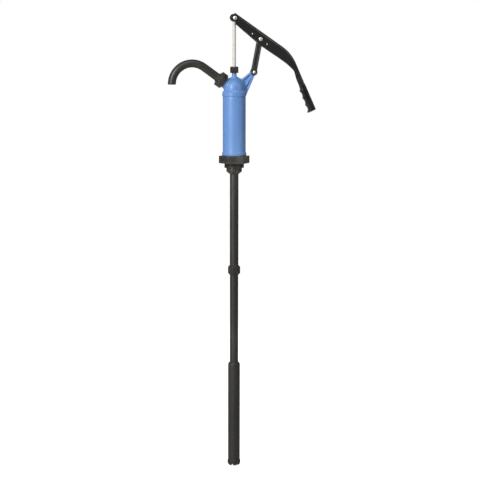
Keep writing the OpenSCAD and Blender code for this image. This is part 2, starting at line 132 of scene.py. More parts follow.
def remap(tree, value, lo, hi, to_lo, to_hi):
    """A value's range lo to hi, clamped and mapped to another range."""
    node = tree.nodes.new("ShaderNodeMapRange")
    for socket, v in zip(("From Min", "From Max", "To Min", "To Max"), (lo, hi, to_lo, to_hi)):
        node.inputs[socket].default_value = v
    tree.links.new(value, node.inputs["Value"])
    return node.outputs["Result"]


def bump(tree, bsdf, layers):
    """Bump layers as (height socket, distance in metres, strength), chained."""
    last = None
    for height, distance, strength in layers:
        node = tree.nodes.new("ShaderNodeBump")
        node.inputs["Distance"].default_value = distance
        node.inputs["Strength"].default_value = strength
        tree.links.new(height, node.inputs["Height"])
        if last is not None:
            tree.links.new(last, node.inputs["Normal"])
        last = node.outputs["Normal"]
    tree.links.new(last, bsdf.inputs["Normal"])


def edges(tree, lo, hi):
    """Mask of worn convex edges, from the mesh's own pointiness."""
    geo = tree.nodes.new("ShaderNodeNewGeometry")
    return remap(tree, geo.outputs["Pointiness"], lo, hi, 0.0, 1.0)


def plastic(name, deep, mid, pale, rough=(0.36, 0.52), grain=420.0, wear=0.35, ior=1.49):
    """Moulded polypropylene: flow mottling, fine grain, scuffs and paler edges."""
    mat, tree, coord, bsdf = new_material(name)
    flow = noise(tree, coord, scale=9.0, detail=5.0, rough=0.6, stretch=(1.0, 1.0, 0.35))
    colour = ramp(tree, flow, [(0.30, deep), (0.52, mid), (0.74, pale)])
    speck = noise(tree, coord, scale=900.0, detail=2.0)
    colour = mix(tree, remap(tree, speck, 0.60, 0.72, 0.0, 0.25), colour, pale)
    scuff = noise(tree, coord, scale=70.0, detail=6.0, rough=0.72, stretch=(1.0, 1.0, 0.12))
    scuffs = remap(tree, scuff, 0.60, 0.74, 0.0, 0.30)
    colour = mix(tree, scuffs, colour, pale)
    worn = mix(tree, remap(tree, speck, 0.35, 0.65, 0.3 * wear, wear), (0, 0, 0), (1, 1, 1))
    colour = mix(tree, mix(tree, 1.0, edges(tree, 0.515, 0.60), worn, "MULTIPLY"), colour, pale)
    tree.links.new(colour, bsdf.inputs["Base Color"])
    tree.links.new(remap(tree, scuff, 0.30, 0.75, *rough), bsdf.inputs["Roughness"])
    bsdf.inputs["IOR"].default_value = ior
    bump(tree, bsdf, [
        (noise(tree, coord, grain, detail=4.0, rough=0.6), 0.00010, 0.35),
        (flow, 0.0012, 0.10),
        (scuff, 0.00015, 0.25),
    ])
    return mat


def coated(name, base, pale, rough):
    """Powder coat: orange-peel surface, slightly rubbed along the folds."""
    mat, tree, coord, bsdf = new_material(name)
    cloud = noise(tree, coord, scale=16.0, detail=5.0, rough=0.6)
    colour = ramp(tree, cloud, [(0.3, base), (0.75, pale)])
    chips = noise(tree, coord, scale=380.0, detail=5.0, rough=0.65)
    chipped = ramp(tree, chips, [(0.52, (0, 0, 0)), (0.66, (0.7, 0.7, 0.7))])
    rubbed = mix(tree, 1.0, edges(tree, 0.55, 0.66), chipped, "MULTIPLY")
    bare_steel = (0.16, 0.155, 0.15)
    colour = mix(tree, rubbed, colour, bare_steel)
    tree.links.new(colour, bsdf.inputs["Base Color"])
    tree.links.new(remap(tree, cloud, 0.3, 0.75, *rough), bsdf.inputs["Roughness"])
    bsdf.inputs["Coat Weight"].default_value = 0.6
    bsdf.inputs["Coat Roughness"].default_value = 0.20
    bump(tree, bsdf, [
        (noise(tree, coord, scale=260.0, detail=2.0, rough=0.45), 0.00012, 0.25),
        (noise(tree, coord, scale=1600.0, detail=2.0), 0.00004, 0.3),
    ])
    return mat


def metal(name, dark_c, light_c, rough, stretch, scale, lines=0.00003, metallic=1.0):
    """Bare or plated metal with directional grinding marks and faint tarnish."""
    mat, tree, coord, bsdf = new_material(name)
    streak = noise(tree, coord, scale, detail=6.0, rough=0.7, stretch=stretch)
    cloud = noise(tree, coord, scale=45.0, detail=4.0, rough=0.55)
    colour = ramp(tree, streak, [(0.28, dark_c), (0.72, light_c)])
    colour = mix(tree, remap(tree, cloud, 0.45, 0.75, 0.0, 0.35), colour, dark_c)
    tree.links.new(colour, bsdf.inputs["Base Color"])
    bsdf.inputs["Metallic"].default_value = metallic
    tree.links.new(remap(tree, cloud, 0.3, 0.7, *rough), bsdf.inputs["Roughness"])
    bump(tree, bsdf, [(streak, lines, 0.5), (cloud, 0.0002, 0.08)])
    return mat


def rubber(name, base, pale, rough, scale=500.0):
    """Matt moulded rubber or packing, with a faint bloom."""
    mat, tree, coord, bsdf = new_material(name)
    fine = noise(tree, coord, scale, detail=4.0, rough=0.6)
    bloom = noise(tree, coord, scale=60.0, detail=4.0, rough=0.6)
    colour = mix(tree, remap(tree, bloom, 0.4, 0.75, 0.0, 0.6), base, pale)
    tree.links.new(colour, bsdf.inputs["Base Color"])
    tree.links.new(remap(tree, fine, 0.3, 0.7, *rough), bsdf.inputs["Roughness"])
    bsdf.inputs["IOR"].default_value = 1.5
    bump(tree, bsdf, [(fine, 0.00012, 0.4), (bloom, 0.0004, 0.1)])
    return mat


BLUE = plastic("blue_pp", (0.096, 0.211, 0.474), (0.117, 0.242, 0.521), (0.167, 0.311, 0.600),
               rough=(0.32, 0.46))
BLACK = plastic("black_pp", (0.0125, 0.0115, 0.0085), (0.019, 0.0178, 0.0140), (0.064, 0.061, 0.052),
                rough=(0.34, 0.50), wear=0.28)
GRIP = plastic("grip_plastic", (0.0028, 0.0028, 0.0026), (0.0045, 0.0045, 0.0042),
               (0.022, 0.022, 0.020), rough=(0.26, 0.40), grain=240.0, wear=0.2, ior=1.42)
WHITE = plastic("white_pp", (0.62, 0.61, 0.57), (0.70, 0.69, 0.65), (0.78, 0.77, 0.74))
COAT = coated("black_steel", (0.0034, 0.0034, 0.0032), (0.0062, 0.0062, 0.0057), (0.24, 0.34))
ROD = metal("stainless", (0.545, 0.503, 0.465), (0.58, 0.538, 0.50), (0.50, 0.58), (1.0, 1.0, 0.01),
            scale=420.0, lines=0.000004, metallic=0.25)
ZINC = metal("zinc_steel", (0.50, 0.51, 0.50), (0.68, 0.69, 0.68), (0.24, 0.38), (1.0, 0.15, 1.0),
             scale=240.0, lines=0.00002, metallic=0.8)
BRASS = metal("bush_brass", (0.50, 0.36, 0.15), (0.68, 0.52, 0.26), (0.22, 0.36), (1.0, 1.0, 0.1),
              scale=300.0)
SEAL = rubber("seal_rubber", (0.012, 0.012, 0.012), (0.040, 0.040, 0.039), (0.48, 0.70))
FELT = rubber("packing_felt", (0.55, 0.54, 0.49), (0.68, 0.67, 0.62), (0.75, 0.95), 1400.0)
BY_SLOT = {"blue_pp": BLUE, "black_pp": BLACK, "grip_plastic": GRIP, "white_pp": WHITE,
           "black_steel": COAT, "stainless": ROD, "zinc_steel": ZINC, "bush_brass": BRASS,
           "seal_rubber": SEAL, "packing_felt": FELT}

# The bung adapter and the socket under it are glossier than the pipes, and the foot is matt
GLOSS_BLACK = plastic("black_pp_gloss", (0.0150, 0.0138, 0.0104), (0.024, 0.0224, 0.0178),
                      (0.085, 0.082, 0.073), rough=(0.20, 0.34), grain=300.0, wear=0.45)
MATT_BLACK = plastic("black_pp_matt", (0.0120, 0.0110, 0.0080), (0.017, 0.0158, 0.0120),
                     (0.050, 0.047, 0.040), rough=(0.48, 0.62), grain=700.0, wear=0.20)

# Every CAD node takes the procedural material of its slot, shown or not
for part in frame["record"]["subparts"]:
    data = frame["nodes"][part["node"]].data
    data.materials.clear()
    data.materials.append(BY_SLOT[part["material_slot"]])


# ------------------------------------------------------------- mesh helpers
def built(name, verts, faces, weld):
    """An object from verts in millimetres, its faces turned outwards; weld closes its poles."""
    mesh = bpy.data.meshes.new(name)
    mesh.from_pydata((np.asarray(verts, float) * MM).tolist(), [], [list(map(int, f)) for f in faces])
    bm = bmesh.new()
    bm.from_mesh(mesh)
    if weld:
        bmesh.ops.remove_doubles(bm, verts=bm.verts, dist=WELD_DIST)
        bmesh.ops.dissolve_degenerate(bm, edges=bm.edges, dist=DEGENERATE_DIST)
    bmesh.ops.recalc_face_normals(bm, faces=bm.faces)
    bm.to_mesh(mesh)
    bm.free()
    obj = bpy.data.objects.new(name, mesh)
    SCENE.collection.objects.link(obj)
    return obj


def shade(mesh, sharp):
    """Smooth shading, with edges over an angle in degrees kept sharp."""
    mesh.shade_smooth()
    mesh.set_sharp_from_angle(angle=math.radians(sharp))


def add(name, verts, faces, slot, body, nodes=(), sharp=38.0, weld=False, look=None):
    """A finished piece, riding on a body and replacing CAD nodes; look overrides its slot's material."""
    obj = built(name, verts, faces, weld)
    shade(obj.data, sharp)
    obj.data.materials.append(look or BY_SLOT[slot])
    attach(obj, body)
    if nodes:
        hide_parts(*nodes)
    return obj


def loft(rings, wrap=False):
    """Quads between closed rings of equal length; capped at both ends, or wrapped end to end."""
    rings = [np.asarray(r, float) for r in rings]
    count, size = len(rings), len(rings[0])
    faces = []
    for i in range(count if wrap else count - 1):
        j = (i + 1) % count
        for k in range(size):
            m = (k + 1) % size
            faces.append((i * size + k, i * size + m, j * size + m, j * size + k))
    if not wrap:
        faces.append(tuple(range(size))[::-1])
        faces.append(tuple(range((count - 1) * size, count * size)))
    return np.concatenate(rings), faces


def join(*parts):
    """Several (verts, faces) as one."""
    verts, faces, base = [], [], 0
    for v, f in parts:
        verts.append(np.asarray(v, float))
        faces += [tuple(i + base for i in face) for face in f]
        base += len(v)
    return np.concatenate(verts), faces


def soft(points, steps=5):
    """An open polyline of (u, v) or (u, v, fillet radius) with its corners rounded."""
    out, count = [], len(points)
    for i, p in enumerate(points):
        radius = p[2] if len(p) > 2 else 0.0
        b = np.array(p[:2], float)
        if radius <= 0 or i in (0, count - 1):
            out.append(b)
            continue
        u = np.array(points[i - 1][:2], float) - b
        v = np.array(points[i + 1][:2], float) - b
        lu, lv = np.linalg.norm(u), np.linalg.norm(v)
        u, v = u / lu, v / lv
        half = math.acos(max(-1.0, min(1.0, float(u @ v)))) / 2
        if half > math.pi / 2 - 1e-3:
            out.append(b)
            continue
        run = min(radius / math.tan(half), 0.49 * lu, 0.49 * lv)
        radius = run * math.tan(half)
        centre = b + (u + v) / np.linalg.norm(u + v) * radius / math.sin(half)
        p0, p1 = b + u * run - centre, b + v * run - centre
        a0 = math.atan2(p0[1], p0[0])
        turn = (math.atan2(p1[1], p1[0]) - a0 + math.pi) % FULL_TURN - math.pi
        for k in range(steps + 1):
            a = a0 + turn * k / steps
            out.append(centre + radius * np.array([math.cos(a), math.sin(a)]))
    return np.array(out)


def polar_ring(r, a, z):
    """A ring about Z through angles a; r and z are one number or one for each angle."""
    return np.stack([r * np.cos(a), r * np.sin(a), z + 0 * a], 1)


def around(seg):
    """Evenly spaced angles of a full turn."""
    return np.linspace(0, FULL_TURN, seg, endpoint=False)


def circle_ring(r, z, seg=96):
    """A plain circle about Z."""
    return polar_ring(r, around(seg), z)


def revolve(profile, seg=96, wrap=True):
    """Rings of a (radius, height) profile about Z; wrap closes the profile on itself."""
    return loft([circle_ring(r, z, seg) for r, z in profile], wrap=wrap)


def placed(part, origin, axis, x_hint=(0, 1, 0)):
    """Moves (verts, faces) drawn about Z so that Z lies along axis at origin."""
    z = np.array(axis, float) / np.linalg.norm(axis)
    y = np.cross(z, x_hint)
    y /= np.linalg.norm(y)
    x = np.cross(y, z)
    verts, faces = part
    return np.asarray(verts) @ np.stack([x, y, z]) + np.array(origin, float), faces


def polygon_radius(phi, sides, flat, fillet):
    """Polar radius of a regular polygon with rounded corners, a corner at angle 0."""
    w = math.pi / sides
    eps = np.abs((phi + w) % (2 * w) - w)
    centre = (flat - fillet) / math.cos(w)
    limit = math.atan2(fillet * math.sin(w), centre + fillet * math.cos(w))
    arc = centre * np.cos(eps) + np.sqrt(np.maximum(fillet ** 2 - (centre * np.sin(eps)) ** 2, 0))
    return np.where(eps < limit, arc, flat / np.cos(w - eps))


def polygon_angles(sides, per_half=9):
    """Angles that crowd towards the corners."""
    w = math.pi / sides
    t = np.linspace(0, 1, per_half + 1)[1:] ** 2.2
    half = np.concatenate([-w * t[::-1], [0.0], w * t[:-1]])
    return np.concatenate([2 * w * k + half for k in range(sides)])


def prism(sides, across, z0, z1, fillet, bore, crown0, crown1, slope=0.5, turn=0.0, lip=0.5):
    """Nut body with rounded corners and a bore; crown0 and crown1 are its face circles' radii."""
    phi = polygon_angles(sides)
    outer = polygon_radius(phi, sides, across / 2, fillet)
    a = phi + math.radians(turn)

    def ring(r, z):
        return polar_ring(r, a, z)

    f0, f1 = np.minimum(crown0, outer - lip), np.minimum(crown1, outer - lip)
    drop0, drop1 = (outer - f0) * slope, (outer - f1) * slope
    soft_in = 0.25 * lip
    rings = [
        ring(bore, z0 + lip * 0.6), ring(bore + lip * 0.6, z0),
        ring(f0 - soft_in, z0), ring(f0 + soft_in, z0 + soft_in * slope),
        ring(outer - soft_in, z0 + drop0 - soft_in * 0.4), ring(outer, z0 + drop0 + soft_in),
        ring(outer, (z0 + z1) / 2),
        ring(outer, z1 - drop1 - soft_in), ring(outer - soft_in, z1 - drop1 + soft_in * 0.4),
        ring(f1 + soft_in, z1 - soft_in * slope), ring(f1 - soft_in, z1),
        ring(bore + lip * 0.6, z1), ring(bore, z1 - lip * 0.6),
    ]
    return loft(rings, wrap=True)


def thread(major, pitch, depth, z0, z1):
    """Rings of a rounded helical thread that runs out at both ends."""
    per_pitch, fade = 12, 0.9
    a = around(96)
    rings = []
    for z in np.linspace(z0, z1, int((z1 - z0) / pitch * per_pitch) + 1):
        ends = np.clip(min(z - z0, z1 - z) / (fade * pitch), 0, 1)
        ends = ends * ends * (3 - 2 * ends)
        wave = 0.5 - 0.5 * np.cos(FULL_TURN * (z / pitch - a / FULL_TURN))
        rings.append(polar_ring(major - depth * ends * wave ** 1.15, a, z))
    return rings


# ---------------------------------------------------- signed-distance solids
def s_poly(u, v, pts):
    """Signed distance to a polygon in a plane."""
    pts = np.array(pts, float)
    best = np.full(u.shape, 1e9)
    inside = np.zeros(u.shape, bool)
    for i in range(len(pts)):
        (ax, ay), (bx, by) = pts[i - 1], pts[i]
        ex, ey = bx - ax, by - ay
        t = np.clip(((u - ax) * ex + (v - ay) * ey) / (ex * ex + ey * ey), 0, 1)
        best = np.minimum(best, (u - ax - t * ex) ** 2 + (v - ay - t * ey) ** 2)
        if ay != by:
            cross = (ay > v) != (by > v)
            inside ^= cross & (u < ex * (v - ay) / ey + ax)
    return np.where(inside, -1.0, 1.0) * np.sqrt(best)


def s_both(a, b, edge):
    """Where two solids meet, with the edge between their faces rounded."""
    a, b = a + edge, b + edge
    return np.minimum(np.maximum(a, b), 0) + np.hypot(np.maximum(a, 0), np.maximum(b, 0)) - edge


def s_slab(flat, depth, half, edge):
    """A plane shape's distance made into a slab of a half thickness, edges rounded."""
    return s_both(flat, np.abs(depth) - half, edge)


def s_join(a, b, k):
    """Two solids joined, with a fillet of about k between them."""
    h = np.clip(0.5 + 0.5 * (b - a) / k, 0, 1)
    return b * (1 - h) + a * h - k * h * (1 - h)


def s_cut(a, b, k):
    """Solid a less solid b, its edge softened by about k."""
    return -s_join(-a, b, k)


def surface(f, low, high, step):
    """Quad mesh of the zero surface of f(x, y, z) between two corners, then pulled onto it."""
    axes = [np.arange(low[i], high[i] + step, step) for i in range(3)]
    grid = np.stack(np.meshgrid(*axes, indexing="ij"), -1)
    val = f(grid[..., 0], grid[..., 1], grid[..., 2])
    dims = val.shape
    total = np.zeros(tuple(n - 1 for n in dims) + (3,))
    count = np.zeros(tuple(n - 1 for n in dims))
    crossings = []
    for axis in range(3):
        a, b = [slice(None)] * 3, [slice(None)] * 3
        a[axis], b[axis] = slice(0, -1), slice(1, None)
        va, vb = val[tuple(a)], val[tuple(b)]
        cross = (va < 0) != (vb < 0)
        t = np.where(cross, va / np.where(cross, va - vb, 1.0), 0.0)
        pos = grid[tuple(a)].copy()
        pos[..., axis] += t * step
        others = [i for i in range(3) if i != axis]
        for d1 in (0, 1):
            for d2 in (0, 1):
                src = [slice(None)] * 3
                src[others[0]] = slice(d1, dims[others[0]] - 1 + d1)
                src[others[1]] = slice(d2, dims[others[1]] - 1 + d2)
                hit = cross[tuple(src)]
                total += np.where(hit[..., None], pos[tuple(src)], 0.0)
                count += hit
        crossings.append((axis, others, cross, va < 0))
    active = count > 0
    index = np.full(active.shape, -1)
    index[active] = np.arange(active.sum())
    verts = total[active] / count[active][:, None]
    faces = []
    for axis, others, cross, inside in crossings:
        where = np.argwhere(cross)
        ok = np.ones(len(where), bool)
        for o in others:
            ok &= (where[:, o] > 0) & (where[:, o] < dims[o] - 1)
        where = where[ok]
        quad = []
        for d1, d2 in ((1, 1), (0, 1), (0, 0), (1, 0)):
            cell = where.copy()
            cell[:, others[0]] -= d1
            cell[:, others[1]] -= d2
            quad.append(index[cell[:, 0], cell[:, 1], cell[:, 2]])
        quad = np.stack(quad, 1)
        flip = inside[where[:, 0], where[:, 1], where[:, 2]] == (axis == 1)
        quad[flip] = quad[flip][:, ::-1]
        faces.append(quad)
    e, rounds = 0.02, 4
    for _ in range(rounds):
        x, y, z = verts.T
        d = f(x, y, z)
        g = np.stack([f(x + e, y, z) - f(x - e, y, z), f(x, y + e, z) - f(x, y - e, z),
                      f(x, y, z + e) - f(x, y, z - e)], 1) / (2 * e)
        move = d[:, None] * g / np.maximum((g * g).sum(1), 0.05)[:, None]
        size = np.linalg.norm(move, axis=1, keepdims=True)
        verts = verts - move * np.minimum(1, 0.6 * step / np.maximum(size, 1e-9))
    return verts, np.concatenate(faces)


# ------------------------------------------------------------- dimensions
THREAD_LOW, HEX_H = corner("bung_adapter", 0)[2], corner("bung_adapter", 1)[2]
HEX_ACROSS, HEX_TURN = 80.0, -5.0            # across flats, and degrees
BARREL_R, BARREL_WALL = 34.2, 2.7
BEAD_R = corner("barrel", 1)[0]
SKIRT_Z = corner("pump_head", 0)[2]
SKIRT_R = corner("pump_head", 1)[1]
GLAND_LOW, GLAND_TOP = corner("gland_nut", 0)[2], corner("gland_nut", 1)[2]
PIN_A = (corner("rod_pin", 0) + corner("rod_pin", 1)) / 2
PIN_B = (corner("fulcrum_pin", 0) + corner("fulcrum_pin", 1)) / 2
PIN_C = (corner("link_pin", 0) + corner("link_pin", 1)) / 2
ROD_R = 5.0
PIN_R, LINK_PIN_R = 4.0, 3.5
TILT = math.radians(36.0)                    # the outlet's rise over the horizontal
OUT_AXIS = np.array([-math.cos(TILT), 0.0, math.sin(TILT)])
OUT_ORIGIN = np.array([0.0, 0.0, 218.6])
DOME_R, DOME_Z = 30.5, 223.0
NECK_R, BOSS_R, EYE_R = 7.0, 16.6, 7.5
BRACKET_HALF = 6.0


# ------------------------------------------------------------ pump head
# Outlines in the XZ plane; a pocket reaches past its outline by the corner radius given before it
BRACKET = [(14, 243.2), (23.4, 250.2), (52.4, 272.8), (63.4, 272), (66, 270), (64.2, 267.0),
           (36, 203.6), (30, 203.6)]
POCKETS = [(1.2, [(27.2, 245.7), (47.1, 261.4), (34.4, 234.3), (29.9, 232.2)]),
           (0.9, [(32.0, 228.2), (37.7, 229.7), (47.9, 247.7), (34.9, 215.8), (33.0, 217.2)])]
RIB = [(-20, 238), (-20, 250.8), (-6, 258), (6, 258), (23.4, 250.0), (22, 238)]


def head_field(x, y, z):
    """Skirt, flare and dome, then the neck, the rib over the dome, the outlet boss and the bracket."""
    r = np.hypot(x, y)
    edge = 0.6
    side, top = SKIRT_R - edge, DOME_R - edge
    shell = s_poly(r, z, [(-5, SKIRT_Z + edge), (side, SKIRT_Z + edge), (side, 209.9),
                          (top, 217.4), (top, DOME_Z), (-5, DOME_Z)]) - edge
    dome = np.sqrt(r * r + (z - DOME_Z) ** 2) - DOME_R
    d = s_join(shell, dome, 1.2)
    neck = np.maximum(r - NECK_R, np.abs(z - 254) - 15)
    d = s_join(d, neck, 9.0)
    rib = s_slab(s_poly(x, z, RIB), y, 2.1, 0.9)
    d = s_join(d, rib, 2.4)
    t = x * OUT_AXIS[0] + (z - OUT_ORIGIN[2]) * OUT_AXIS[2]
    across = np.sqrt(np.maximum((x - t * OUT_AXIS[0]) ** 2 + y * y
                                + (z - OUT_ORIGIN[2] - t * OUT_AXIS[2]) ** 2, 0))
    boss = np.maximum(across - BOSS_R, np.abs(t - 30) - 16)
    d = s_join(d, boss, 3.2)
    plate = s_slab(s_poly(x, z, BRACKET), y, BRACKET_HALF, 1.1)
    web_half = 2.0
    for round_r, pocket in POCKETS:
        hollow = s_both(s_poly(x, z, pocket) - round_r, web_half - np.abs(y), 0.8)
        plate = s_cut(plate, hollow, 1.2)
    eye = s_slab(np.hypot(x - PIN_C[0], z - PIN_C[2]) - EYE_R, y, BRACKET_HALF, 0.8)
    plate = s_join(plate, eye, 1.5)
    return s_join(d, plate, 3.0)


add("pump_head_casting", *surface(head_field, (-52, -37.5, 196), (69, 37.5, 280), 0.85),
    "blue_pp", "pump_body", ["pump_head"], sharp=60)

# ------------------------------------------------------------ barrel
BARREL_FOOT, BARREL_TOP = 7, 198.9
BEAD_LOW, BEAD_TOP = 23.4, 32.9
barrel = soft([(BARREL_R - BARREL_WALL, BARREL_FOOT), (BARREL_R, BARREL_FOOT, 0.4),
               (BARREL_R, BEAD_LOW, 0.7), (BEAD_R, BEAD_LOW + 0.3, 1.0),
               (BEAD_R, BEAD_TOP - 0.5, 1.6), (BARREL_R + 0.05, BEAD_TOP, 1.0), (BARREL_R, 110),
               (BARREL_R, BARREL_TOP, 0.4), (BARREL_R - BARREL_WALL, BARREL_TOP)], 6)


def subdivided(line, longest):
    """Splits the steep segments of an (r, z) line, so that a tall wall shades evenly."""
    fine = []
    for (r0, z0), (r1, z1) in zip(line[:-1], line[1:]):
        n = max(1, int(abs(z1 - z0) / longest))
        fine += [(r0 + (r1 - r0) * k / n, z0 + (z1 - z0) * k / n) for k in range(n)]
    return fine + [tuple(line[-1])]


add("barrel_wall", *revolve(subdivided(barrel, 12), 128), "blue_pp", "pump_body", ["barrel"])

# ------------------------------------------------------------ bung adapter
G2_RADIUS, G2_PITCH, G2_DEPTH = 29.8, 2.309, 1.3
SOCKET_BORE = 20.1
collar = prism(6, HEX_ACROSS, 0.0, HEX_H, fillet=1.6, bore=BARREL_R + 0.25, crown0=43.6, crown1=44.2,
               slope=0.35, turn=HEX_TURN, lip=0.9)
step_rings = [circle_ring(25, -0.5), circle_ring(28.6, -0.2)]
step_rings += thread(G2_RADIUS, G2_PITCH, G2_DEPTH, THREAD_LOW + 0.9, -0.4)[::-1]
step_rings += [circle_ring(29.1, THREAD_LOW + 0.35), circle_ring(28.4, THREAD_LOW),
               circle_ring(SOCKET_BORE, THREAD_LOW)]
add("bung_collar", *join(collar, loft(step_rings)), "black_pp", "pump_body", ["bung_adapter"],
    look=GLOSS_BLACK)

# --------------------------------------------------------- suction socket
SOCKET_R, SOCKET_PIPE_R = 23.25, 13.1
SOCKET_LOW, SOCKET_TOP = -32.0, -13.65
socket = soft([(SOCKET_PIPE_R, SOCKET_LOW), (14.6, SOCKET_LOW, 0.6), (SOCKET_R, -24.4, 1.6),
               (SOCKET_R, SOCKET_TOP, 0.7), (SOCKET_PIPE_R, SOCKET_TOP)], 6)
add("suction_socket_body", *revolve(socket, 96), "black_pp", "pump_body", ["suction_socket"],
    look=GLOSS_BLACK)

# ---------------------------------------------------------- suction pipes
PIPE_BORE = 10.0


def long_tube(name, node):
    """A pipe of its CAD node's size, with softened ends and enough rings for a clean shade."""
    edge, rings = 0.4, 24
    z0, (ro, _, z1) = corner(node, 0)[2], corner(node, 1)
    prof = [(PIPE_BORE, z0 + 0.1), (ro - edge, z0)]
    prof += [(ro, z) for z in np.linspace(z0 + edge, z1 - edge, rings)]
    prof += [(ro - edge, z1), (PIPE_BORE, z1 - 0.1)]
    add(name, *revolve(prof, 72), "black_pp", "pump_body", [node])


long_tube("upper_pipe_wall", "upper_pipe")
long_tube("middle_pipe_wall", "middle_pipe")

# --------------------------------------------------------- pipe coupling
COUPLING_FLAT = 17.3
c_low, c_high = corner("pipe_coupling", 0)[2], corner("pipe_coupling", 1)[2]


def eight_ring(flat, z, blend=1.0):
    """A ring between a circle (blend 0) and an octagon with rounded corners (blend 1)."""
    phi = polygon_angles(8, 6)
    r = polygon_radius(phi, 8, flat, 1.2) * blend + (1 - blend) * flat
    return polar_ring(r, phi + math.radians(22.5), z)


coupling = [eight_ring(12.6, c_low + 0.3, 0), eight_ring(13.4, c_low, 0), eight_ring(14.0, c_low + 0.5, 0),
            eight_ring(16.5, c_low + 3.6, 0.5), eight_ring(17.1, c_low + 4.6, 0.9),
            eight_ring(COUPLING_FLAT, c_low + 5.4), eight_ring(COUPLING_FLAT, (c_low + c_high) / 2),
            eight_ring(COUPLING_FLAT, c_high - 5.4),
            eight_ring(17.1, c_high - 4.6, 0.9), eight_ring(16.5, c_high - 3.6, 0.5),
            eight_ring(14.1, c_high - 0.4, 0), eight_ring(13.7, c_high, 0),
            eight_ring(13.05, c_high - 0.2, 0)]
add("coupling_collar", *loft(coupling, wrap=True), "black_pp", "pump_body", ["pipe_coupling"], sharp=50)

# ------------------------------------------------------------- foot tube
FOOT_BORE, FOOT_NECK_BORE = 15.3, 12.7
foot_low, (FOOT_R, _, foot_top) = corner("foot_tube", 0)[2], corner("foot_tube", 1)
shoulder = soft([(FOOT_NECK_BORE, foot_top - 2.6), (FOOT_NECK_BORE, foot_top, 0.4), (14.4, foot_top, 0.8),
                 (16.9, foot_top - 3.0, 2.0), (FOOT_R, foot_top - 8.0, 3.0), (FOOT_R, foot_top - 14)], 6)
foot = [tuple(p) for p in shoulder]
foot += [(FOOT_R, z) for z in np.linspace(foot_top - 20, foot_low + 0.5, 24)]
foot += [(FOOT_R - 0.4, foot_low), (FOOT_BORE, foot_low), (FOOT_BORE, foot_top - 3.0),
         (14.0, foot_top - 2.6)]
add("foot_tube_wall", *revolve(foot, 96), "black_pp", "foot_tube", ["foot_tube"], look=MATT_BLACK)

RING_BORE, RING_SEAT_R = 12.1, 17.95
NOTCH_HALF, NOTCH_H = 2.6, 4.0
ring_low, (RING_R, _, ring_top) = corner("suction_foot", 0)[2], corner("suction_foot", 1)


def foot_field(x, y, z):
    """The end ring: a bore, a seat for the foot tube, and three notches right across its end."""
    r = np.hypot(x, y)
    edge = 2.4
    d = s_poly(r, z, [(-5, ring_low + edge), (14.2, ring_low + edge), (RING_R - edge, ring_low + 7.2),
                      (RING_R - edge, ring_top - edge), (-5, ring_top - edge)]) - edge
    d = s_cut(d, r - RING_BORE, 0.8)
    d = s_cut(d, np.maximum(r - RING_SEAT_R, ring_low + 9.5 - z), 0.6)
    for k in range(3):
        a = math.radians(60 * k)
        side = -x * math.sin(a) + y * math.cos(a)
        notch = np.maximum(np.abs(side) - NOTCH_HALF, z - (ring_low + NOTCH_H))
        d = s_cut(d, notch, 0.8)
    return d


add("suction_end_ring",
    *surface(foot_field, (-20.5, -20.5, ring_low - 1.2), (20.5, 20.5, ring_top + 1.2), 0.6),
    "black_pp", "foot_tube", ["suction_foot"], sharp=60, look=MATT_BLACK)

# --------------------------------------------------------------- gland nut
GLAND_ACROSS = 22.0
gland = prism(6, GLAND_ACROSS, GLAND_LOW, GLAND_TOP, fillet=0.9, bore=ROD_R + 0.4, crown0=11.0, crown1=10.8)
add("gland_nut_body", *gland, "black_pp", "pump_body", ["gland_nut"])

# -------------------------------------------------------- spout and its nut
NUT_T0, NUT_T1 = 38.3, 59.2                  # distances along the outlet axis
NUT_ACROSS, NUT_BORE, NUT_TURN = 40.0, 16.7, 22.0
COVER_BORE, COVER_R = 12.3, 17.4
nut = prism(6, NUT_ACROSS, NUT_T0, NUT_T1, fillet=1.2, bore=NUT_BORE, crown0=20.6, crown1=20.4,
            slope=0.45, turn=NUT_TURN, lip=0.7)
cover = revolve([(COVER_BORE, NUT_T1 - 0.4), (COVER_BORE + 0.3, NUT_T1 - 0.1), (COVER_R, NUT_T1 - 0.1),
                 (COVER_R, NUT_T1 - 2.2), (COVER_BORE, NUT_T1 - 2.2)], 96)
add("spout_nut_body", *placed(join(nut, cover), OUT_ORIGIN, OUT_AXIS),
    "black_pp", "pump_body", ["spout_nut"])

RUN, BEND_R = 113.6, 60.6                    # straight run from the origin, then the bend
SP_R, SP_IN = 12.0, 9.5
FLANGE_R, FLANGE_T0, FLANGE_T1 = 15.9, 54.6, 56.6
bend_centre = OUT_ORIGIN + RUN * OUT_AXIS + BEND_R * np.array([-math.sin(TILT), 0, -math.cos(TILT)])


def spout_ring(s, r):
    """A ring at distance s along the centreline: straight, bend, then straight down."""
    arc = BEND_R * (math.pi / 2 + TILT)
    if s < RUN:
        centre, normal = OUT_ORIGIN + s * OUT_AXIS, np.array([math.sin(TILT), 0, math.cos(TILT)])
    else:
        a = math.pi / 2 - TILT + min(s - RUN, arc) / BEND_R
        normal = np.array([math.cos(a), 0, math.sin(a)])
        centre = bend_centre + BEND_R * normal + np.array([0, 0, -max(0.0, s - RUN - arc)])
    w = around(64)
    return centre + r * (np.cos(w)[:, None] * normal + np.sin(w)[:, None] * np.array([0, 1, 0]))


SPOUT_DROP = 1.2
END = RUN + BEND_R * (math.pi / 2 + TILT) + SPOUT_DROP
